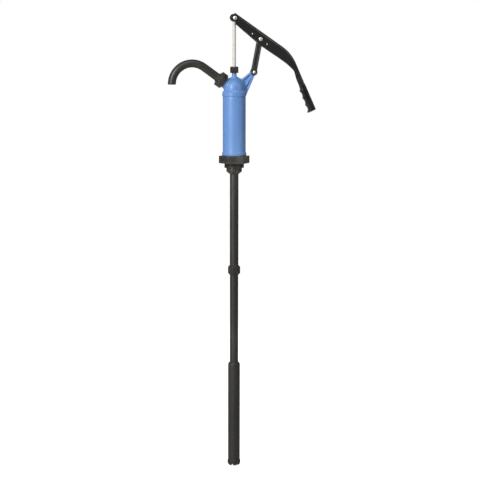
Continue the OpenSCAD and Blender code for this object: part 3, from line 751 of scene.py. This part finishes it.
# (distance, radius): flange in the nut, bead in front of it, tube, rounded mouth, bore
spout_line = [(FLANGE_T0, SP_IN), (FLANGE_T0, FLANGE_R), (FLANGE_T1, FLANGE_R), (FLANGE_T1 + 0.2, SP_R)]
spout_line += [(59.2, SP_R), (59.4, 13.5), (63.0, 13.7), (63.8, 13.4), (64.6, SP_R + 0.25), (65.6, SP_R)]
spout_line += [(s, SP_R) for s in np.linspace(67, END - SPOUT_DROP, 60)]
spout_line += [(END - 0.5, SP_R - 0.1), (END - 0.12, SP_R - 0.45), (END, SP_R - 0.9),
               (END, SP_IN + 0.5), (END - 0.5, SP_IN)]
spout_line += [(s, SP_IN) for s in np.linspace(END - 2, 60, 40)]
spout = [spout_ring(s, r) for s, r in spout_line]
add("spout_tube", *loft(spout, wrap=True), "black_pp", "spout", ["spout"])


# ------------------------------------------------------------- rod, pins
ROD_EDGE = 0.6
rod_low, rod_high = corner("piston_rod", 0)[2], corner("piston_rod", 1)[2]
rod = [(0, rod_low), (ROD_R - ROD_EDGE, rod_low)]
rod += [(ROD_R, z) for z in np.linspace(rod_low + ROD_EDGE, rod_high - ROD_EDGE, 30)]
rod += [(ROD_R - ROD_EDGE, rod_high), (0, rod_high)]
add("piston_rod_bar", *revolve(rod, 64, wrap=False), "stainless", "piston_rod", ["piston_rod"], weld=True)


PIN_RIM, PIN_PAST = 0.8, 2.2                 # height of a head's rim, and the shank past its ring
TO_FRONT, TO_BACK = (0, -1, 0), (0, 1, 0)    # axes of parts placed along Y
HINT_X = (1, 0, 0)


def headed_pin(name, node, centre, head_r, shank_r, half, body, crown):
    """A pin through plates at -half and half along Y, with a domed head in front."""
    length = half + PIN_PAST + half
    pts = [(0, -length), (shank_r - 0.5, -length), (shank_r, -length + 0.5), (shank_r, -0.2),
           (shank_r + 0.2, 0.0), (head_r - 0.3, 0.0), (head_r, 0.35), (head_r, PIN_RIM)]
    sphere = (head_r ** 2 + crown ** 2) / (2 * crown)
    steps = 8
    for k in range(1, steps + 1):
        r = head_r * math.cos(math.pi / 2 * k / steps)
        pts.append((r, PIN_RIM + math.sqrt(max(sphere ** 2 - r ** 2, 0)) - (sphere - crown)))
    part = revolve(pts, 48, wrap=False)
    add(name, *placed(part, (centre[0], -half, centre[2]), TO_FRONT, HINT_X),
        "zinc_steel", body, [node], weld=True)


def clip_part(r, ro):
    """Push-on ring: a dished washer with slots cut from its hole."""
    thick, slots = 1.5, 3
    a = around(96)
    cut = np.clip((np.cos(slots * a) - 0.80) / 0.1, 0, 1)
    inner = r + 0.03 + cut * (ro - r) * 0.45
    mid = inner + 0.3
    section = [(inner, 0.55), (mid, 0.35), (ro - 1.3, 0.05), (ro - 0.3, 0.0), (ro, 0.3), (ro - 0.1, 0.75),
               (ro - 1.2, thick - 0.6), (mid, thick - 0.15), (inner, thick)]
    return loft([polar_ring(rad, a, z) for rad, z in section], wrap=True)


def push_ring(pin, shank_r, ring_r, y):
    """The ring on a pin's back end, its front face at y."""
    return placed(clip_part(shank_r, ring_r), (pin[0], y, pin[2]), TO_BACK, HINT_X)


LEVER_FACE, LINK_FACE, RING_GAP = 12.25, 9.45, 0.05
headed_pin("rod_pin_headed", "rod_pin", PIN_A, 5.7, PIN_R, LEVER_FACE, "lever", 2.0)
headed_pin("fulcrum_pin_headed", "fulcrum_pin", PIN_B, 5.8, PIN_R, LEVER_FACE, "lever", 2.1)
headed_pin("link_pin_headed", "link_pin", PIN_C, 4.7, LINK_PIN_R, LINK_FACE, "link", 2.0)
clips = [push_ring(p, PIN_R, r, LEVER_FACE + RING_GAP) for p, r in ((PIN_A, 6.2), (PIN_B, 6.7))]
add("lever_push_rings", *join(*clips), "zinc_steel", "lever", ["lever_clips"])
add("link_push_ring", *push_ring(PIN_C, LINK_PIN_R, 5.2, LINK_FACE + RING_GAP),
    "zinc_steel", "link", ["link_clip"])

# ------------------------------------------------------------------ link
LINK_TILT = math.radians(10.854)
LINK_U = np.array([math.sin(LINK_TILT), math.cos(LINK_TILT)])      # along the link, in (x, z)
LINK_T = np.array([math.cos(LINK_TILT), -math.sin(LINK_TILT)])     # across it
LINK_LEN, LINK_HALF_W, LINK_HALF_Y = 100, 7.4, 9.4
SLOT_HALF, SLOT_R = 4.9, 5.1                 # the slot's half length, and its round ends
FORK_HALF, FORK_DEPTH = 6.2, 13.5


def link_field(x, y, z):
    """A bar with a forked foot on the bracket, a slotted head in the lever and a hollow on each face."""
    px, pz = x - PIN_C[0], z - PIN_C[2]
    a, b = px * LINK_T[0] + pz * LINK_T[1], px * LINK_U[0] + pz * LINK_U[1]
    mid = LINK_LEN / 2
    flat = np.maximum(np.abs(a) - LINK_HALF_W, np.abs(b - mid) - mid)
    flat = s_join(flat, np.hypot(a, b) - 9.8, 2.5)
    from_slot = np.hypot(np.maximum(np.abs(a - SLOT_HALF) - SLOT_HALF, 0), b - LINK_LEN)
    flat = s_join(flat, from_slot - 9.5, 4.0)
    d = s_slab(flat, y, LINK_HALF_Y, 1.0)
    d = s_cut(d, from_slot - SLOT_R, 0.6)
    hollow = s_both(s_both(np.abs(a) - 4.9, np.abs(b - mid) - 31, 1.6), 5.8 - np.abs(y), 1.2)
    d = s_cut(d, hollow, 1.1)
    fork = np.maximum(np.abs(y) - FORK_HALF, b - FORK_DEPTH)
    return s_cut(d, fork, 0.8)


add("link_bar", *surface(link_field, (45, -10.6, 257), (101, 10.6, 382), 0.7),
    "black_pp", "link", ["link"], sharp=60)

# ------------------------------------------------------------------ lever
# The outer edge as (x, z) from the rod pin: a straight beam, a bend, and a straight hand part
TIP = np.array([1.7, 14.7])
CORNER = np.array([172.6, -104.5])
GRIP_END = np.array([248.0, -272.3])
LEVER_SHARP = 40
beam = (CORNER - TIP) / np.linalg.norm(CORNER - TIP)
hand = (GRIP_END - CORNER) / np.linalg.norm(GRIP_END - CORNER)
LEVER_BEND = 120.0
turn_angle = math.acos(float(beam @ hand))
bend_len = LEVER_BEND * math.tan(turn_angle / 2)
BEND_A, BEND_B = CORNER - beam * bend_len, CORNER + hand * bend_len
beam_n = np.array([-beam[1], beam[0]])
hand_n = np.array([-hand[1], hand[0]])
CENTRE = BEND_A - beam_n * LEVER_BEND


def handle(s, w):
    """Point by distance up from the grip's end and inward from the outer line."""
    return GRIP_END - s * hand - w * hand_n


def top_path():
    """The outer edge from the tip to the buried end in the grip."""
    n_beam, n_bend, n_hand = 26, 22, 16
    pts = [TIP + (BEND_A - TIP) * t for t in np.linspace(0, 1, n_beam, endpoint=False)]
    a0 = math.atan2(*(BEND_A - CENTRE)[::-1])
    pts += [CENTRE + LEVER_BEND * np.array([math.cos(a0 - turn_angle * t), math.sin(a0 - turn_angle * t)])
            for t in np.linspace(0, 1, n_bend, endpoint=False)]
    pts += [BEND_B + (handle(100, 0.3) - BEND_B) * t for t in np.linspace(0, 1, n_hand, endpoint=False)]
    pts += [handle(s, w) for s, w in ((91, 0.3), (88.5, 0.7), (84, 2.4), (78, 3.1), (45, 3.1), (10, 3.1))]
    return np.array(pts)


def resample(pts, count):
    """Evenly spaced points along a polyline."""
    run = np.concatenate([[0], np.cumsum(np.linalg.norm(np.diff(pts, axis=0), axis=1))])
    t = np.linspace(0, run[-1], count)
    return np.stack([np.interp(t, run, pts[:, 0]), np.interp(t, run, pts[:, 1])], 1)


def smooth_line(pts, rounds=2):
    """Chaikin corner cutting that keeps both ends."""
    for _ in range(rounds):
        a, b = pts[:-1], pts[1:]
        mid = np.stack([a * 0.75 + b * 0.25, a * 0.25 + b * 0.75], 1).reshape(-1, 2)
        pts = np.concatenate([pts[:1], mid, pts[-1:]])
    return pts


# The plates' lower edge, down the beam and then along the hand part to its end in the grip
LOWER_TIP, LOWER_BEND = (4.7, -17.8), (118, -107.4)
LOWER = np.array([LOWER_TIP, (24.8, -35.4), (47.6, -54.3), (65, -69.4), (80.3, -81.6), (97, -93.4),
                  LOWER_BEND, (139, -121.3), (160, -136.0), (174, -148.5), (183.5, -158.0)]
                 + [tuple(handle(s, w)) for s, w in ((123, 12.2), (112, 14.3), (98, 15.6), (90, 15.5),
                                                     (82, 14.9), (45, 14.9), (10, 14.9))])
# The two edges are paired by equal shares of each stretch between matching marks
MARKS_U = [TIP, BEND_A, BEND_B, handle(91, 0.3), handle(78, 3.1), handle(10, 3.1)]
MARKS_L = [np.array(LOWER_TIP), np.array(LOWER_BEND), handle(123, 12.2), handle(91, 15.5),
           handle(78, 14.9), handle(10, 14.9)]
SHARES = [44, 26, 18, 12, 8]


def between(line, a, b, count):
    """Points of a line from the one nearest a up to, but without, the one nearest b."""
    i = int(np.argmin(np.linalg.norm(line - a, axis=1)))
    j = int(np.argmin(np.linalg.norm(line - b, axis=1)))
    return resample(line[i:j + 1], count + 1)[:-1]


def shared(line, marks):
    """A line cut into the same stretches and shares as the other edge's."""
    parts = [between(line, a, b, n) for a, b, n in zip(marks[:-1], marks[1:], SHARES)]
    return np.concatenate(parts + [line[-1:]])


OUT_Y, SHEET, FOLD = 12.2, 2.2, 8.0          # half width, sheet thickness, outside fold radius


def channel_section(depth):
    """One closed loop of the folded sheet: (y, depth below the outer edge)."""
    lip = 0.35
    legs = list(np.linspace(9.2, max(depth - 1.2, 10.0), 5))
    outer = [(-OUT_Y + lip, depth), (-OUT_Y, depth - lip)] + [(-OUT_Y, d) for d in legs[::-1]]
    arc = [(-OUT_Y + FOLD - FOLD * math.cos(a), FOLD - FOLD * math.sin(a))
           for a in np.linspace(0, math.pi / 2, 9)]
    outer += arc + [(0.0, 0.0)]
    outer += [(-y, d) for y, d in outer[-2::-1]]
    in_y = OUT_Y - SHEET
    inner = [(in_y + lip, depth), (in_y, depth - lip)] + [(in_y, d) for d in legs[::-1]]
    inside = FOLD - SHEET
    arc = [(inside * math.cos(a) + in_y - inside, SHEET + inside - inside * math.sin(a))
           for a in np.linspace(0, math.pi / 2, 7)]
    inner += arc + [(0.0, SHEET)]
    inner += [(-y, d) for y, d in inner[-2::-1]]
    return outer + inner


lever_rings = []
for t, b in zip(shared(top_path(), MARKS_U), shared(smooth_line(LOWER, 2), MARKS_L)):
    down = (b - t) / np.linalg.norm(b - t)
    section = channel_section(float(np.linalg.norm(b - t)))
    lever_rings.append([(PIN_A[0] + t[0] + down[0] * d, y, PIN_A[2] + t[1] + down[1] * d)
                        for y, d in section])


def ear(side):
    """Round end of one plate about the rod pin; side 1 is the back one, -1 the front one."""
    y0, y1 = OUT_Y - SHEET + 0.02, OUT_Y - 0.02
    thick, bore, radius, edge = y1 - y0, 4.1, 11.5, 0.3
    prof = [(bore, 0.0), (radius - edge, 0.0), (radius, edge), (radius, thick - edge),
            (radius - edge, thick), (bore, thick)]
    return placed(revolve(prof, 72), (PIN_A[0], y0 if side > 0 else -y1, PIN_A[2]), TO_BACK, HINT_X)


lever = add("lever_channel", *loft(lever_rings), "black_steel", "lever", ["lever"], sharp=LEVER_SHARP)


def cutter(x, z, r):
    """A tool that leaves a bore with broken edges through both plates."""
    reach, past, edge, flare = 14.0, 0.01, 0.35, 0.4
    inner = OUT_Y - SHEET
    # From the middle of the channel outwards: (distance along Y, radius)
    steps = [(inner - past, r + flare), (inner + edge, r), (OUT_Y - edge, r), (OUT_Y + past, r + flare),
             (reach, r + flare), (reach, 0)]
    prof = [(rad, -y) for y, rad in steps[::-1]] + [(rad, y) for y, rad in steps]
    return placed(revolve(prof, 40, wrap=False), (x, 0, z), TO_BACK, HINT_X)


def drill(target, holes):
    """Cuts holes, each given as (x, z, radius), through both plates of the lever."""
    tool = built("drill", *join(*[cutter(*h) for h in holes]), weld=True)
    mod = target.modifiers.new("holes", "BOOLEAN")
    mod.operation = "DIFFERENCE"
    mod.solver = "EXACT"
    mod.object = tool
    bpy.context.view_layer.update()
    cut = bpy.data.meshes.new_from_object(target.evaluated_get(bpy.context.evaluated_depsgraph_get()))
    target.modifiers.remove(mod)
    target.data = cut
    shade(cut, LEVER_SHARP)
    bpy.data.objects.remove(tool)


PIN_HOLE_R, SPARE_HOLE_R = 4.05, 3.75
drill(lever, [(PIN_A[0], PIN_A[2], PIN_HOLE_R), (PIN_B[0], PIN_B[2], PIN_HOLE_R),
              (PIN_A[0] + 54.8, PIN_A[2] - 47.3, SPARE_HOLE_R),
              (PIN_A[0] + 99.4, PIN_A[2] - 78.3, SPARE_HOLE_R)])
add("lever_ears", *join(ear(1), ear(-1)), "black_steel", "lever")

# -------------------------------------------------------------------- grip
GRIP_HALF, GRIP_LEN = 14.4, 86.0
SCALLOP_END, SCALLOP_PITCH, SCALLOP_DEPTH = 66.4, 22.13, 3.6
NECK_FROM = 70
LIP_LEN, LIP_H = 8.0, 3.0


def grip_depth(s):
    """How far the inner side is from the outer line: three scallops, a lip at the end, a neck."""
    crest = 24.6 - 2.2 * min(max(s, 0.0) / SCALLOP_END, 1.0)
    if s > SCALLOP_END:
        t = min((s - SCALLOP_END) / 8.0, 1.0)
        t = t * t * (3 - 2 * t)
        return (crest - 0.3) * (1 - t) + t * (18.2 - 0.8 * (s - NECK_FROM) / 16.0)
    pos = min((SCALLOP_END - s) / SCALLOP_PITCH, 2.9999)
    x = pos - math.floor(pos)
    lip = max(0.0, 1 - s / LIP_LEN) ** 1.5 * LIP_H
    return crest - SCALLOP_DEPTH * math.sin(math.pi * x) ** 0.7 + lip


def grip_ring(s, shrink=0.0):
    """A rounded-rectangle section at distance s up from the grip's end."""
    seg = 56
    depth = grip_depth(s)
    mid, half_d, half_w = depth / 2, depth / 2 - shrink, GRIP_HALF - shrink
    if s > NECK_FROM:
        half_w -= 0.9 * min((s - NECK_FROM) / 12.0, 1.0)
    ring = []
    power = 2 / 3.4
    for k in range(seg):
        a = FULL_TURN * k / seg
        c, q = math.cos(a), math.sin(a)
        y = half_w * math.copysign(abs(c) ** power, c)
        w = mid + half_d * math.copysign(abs(q) ** power, q)
        p = handle(s, w)
        ring.append((PIN_A[0] + p[0], y, PIN_A[2] + p[1]))
    return ring


# (distance, shrink) at each end, where the edges are rounded
GRIP_FOOT = [(0.0, 6.0), (0.0, 1.5), (0.15, 0.8), (0.5, 0.3), (1.0, 0.0)]
GRIP_TOP = [(84.4, 0.15), (85.3, 0.55), (85.8, 1.1), (GRIP_LEN, 1.8), (GRIP_LEN, 5.0)]
grip = [grip_ring(s, shrink) for s, shrink in GRIP_FOOT]
grip += [grip_ring(s) for s in np.linspace(1.6, 83.0, 120)]
grip += [grip_ring(s, shrink) for s, shrink in GRIP_TOP]
add("lever_grip_moulding", *loft(grip), "grip_plastic", "lever", ["lever_grip"], sharp=50)


# ---------------------------------------------------- stage, light, camera
SCENE.view_settings.view_transform = "Standard"


def camera_switch(tree, lit, seen):
    """One shader for the light that falls on the object, another for the plain backdrop."""
    path = tree.nodes.new("ShaderNodeLightPath")
    both = tree.nodes.new("ShaderNodeMixShader")
    tree.links.new(path.outputs["Is Camera Ray"], both.inputs["Fac"])
    tree.links.new(lit, both.inputs[1])
    tree.links.new(seen, both.inputs[2])
    return both.outputs["Shader"]


# From here on lengths are in metres
FLOOR_GAP, FLOOR_RADIUS = 0.004, 16.0
FLOOR_GLOW, ROOM_LIGHT = 0.88, 0.27


def ground():
    """A round pale floor just under the suction end, as bright as the backdrop to the camera."""
    low = min(cad_box[0][2], cad_box[1][2]) - FLOOR_GAP
    seg, radius = 96, FLOOR_RADIUS
    turns = [FULL_TURN * k / seg for k in range(seg)]
    verts = [(0.0, 0.0, low)] + [(radius * math.cos(a), radius * math.sin(a), low) for a in turns]
    mesh = bpy.data.meshes.new("floor")
    mesh.from_pydata(verts, [], [(0, 1 + k, 1 + (k + 1) % seg) for k in range(seg)])
    floor = bpy.data.objects.new("floor", mesh)
    SCENE.collection.objects.link(floor)
    mat, tree, coord, bsdf = new_material("floor_paper")
    tone = noise(tree, coord, 1.5, 3.0)
    paper = ramp(tree, tone, [(0.3, (0.62, 0.62, 0.62)), (0.7, (0.66, 0.66, 0.66))])
    tree.links.new(paper, bsdf.inputs["Base Color"])
    bsdf.inputs["Roughness"].default_value = 0.9
    glow = tree.nodes.new("ShaderNodeEmission")
    glow.inputs["Strength"].default_value = FLOOR_GLOW
    total = tree.nodes.new("ShaderNodeAddShader")
    tree.links.new(bsdf.outputs["BSDF"], total.inputs[0])
    tree.links.new(glow.outputs["Emission"], total.inputs[1])
    out = next(n for n in tree.nodes if n.type == "OUTPUT_MATERIAL")
    tree.links.new(camera_switch(tree, bsdf.outputs["BSDF"], total.outputs["Shader"]),
                   out.inputs["Surface"])
    mesh.materials.append(mat)


ground()

world = bpy.data.worlds.new("studio")
SCENE.world = world
world.use_nodes = True
sky = world.node_tree
room = sky.nodes["Background"]
room.inputs["Color"].default_value = (1.0, 0.99, 0.97, 1.0)
room.inputs["Strength"].default_value = ROOM_LIGHT
backdrop = sky.nodes.new("ShaderNodeBackground")
backdrop.inputs["Color"].default_value = (1.0, 1.0, 1.0, 1.0)
world_out = next(n for n in sky.nodes if n.type == "OUTPUT_WORLD")
sky.links.new(camera_switch(sky, room.outputs["Background"], backdrop.outputs["Background"]),
              world_out.inputs["Surface"])


def softbox(name, place, target, wide, high, watts):
    """A rectangular area light at place, turned to target."""
    light = bpy.data.lights.new(name, "AREA")
    light.shape = "RECTANGLE"
    light.size, light.size_y = wide, high
    light.energy = watts
    obj = bpy.data.objects.new(name, light)
    obj.location = place
    obj.rotation_euler = (Vector(target) - Vector(place)).to_track_quat("-Z", "Y").to_euler()
    SCENE.collection.objects.link(obj)


softbox("key_left", (-2.25, -2.1, 1.25), (0, 0, -0.1), 0.8, 2.4, 112)
softbox("fill_right", (2.6, -2.2, 0.9), (0, 0, -0.1), 1.2, 1.6, 7)
softbox("front_top", (-0.3, -1.5, 2.5), (0, 0, 0.2), 1.2, 0.3, 17)
softbox("right_top", (1.55, -1.82, 1.53), (0.12, 0, 0.36), 0.7, 0.22, 3.2)
softbox("behind", (0.62, 2.93, 0.5), (0, 0, -0.1), 2.4, 2.4, 10)

# The camera stands far off, turned a little to the spout's side, with its eye a little over the lever
AZIMUTH = math.radians(-12.0)
DISTANCE, EYE_Z = 8.0, 0.60
AIM_SIDE, AIM_Z = 0.0176, -0.2299
FRAME_WIDTH = 1.432
ROLL = -0.0012
right = Vector((math.cos(AZIMUTH), math.sin(AZIMUTH), 0))
back = Vector((math.sin(AZIMUTH), -math.cos(AZIMUTH), 0))
aim = right * AIM_SIDE + Vector((0, 0, AIM_Z))
eye = right * AIM_SIDE + back * DISTANCE + Vector((0, 0, EYE_Z))
camera_data = bpy.data.cameras.new("camera")
camera = bpy.data.objects.new("camera", camera_data)
camera.location = eye
level = (aim - eye).to_track_quat("-Z", "Y").to_matrix()
camera.rotation_euler = (level @ Matrix.Rotation(-ROLL, 3, "Z")).to_euler()
SENSOR_MM = 36.0
camera_data.sensor_width = SENSOR_MM
camera_data.lens = SENSOR_MM * (aim - eye).length / FRAME_WIDTH
camera_data.clip_end = 60.0
SCENE.collection.objects.link(camera)
SCENE.camera = camera

bpy.context.view_layer.update()
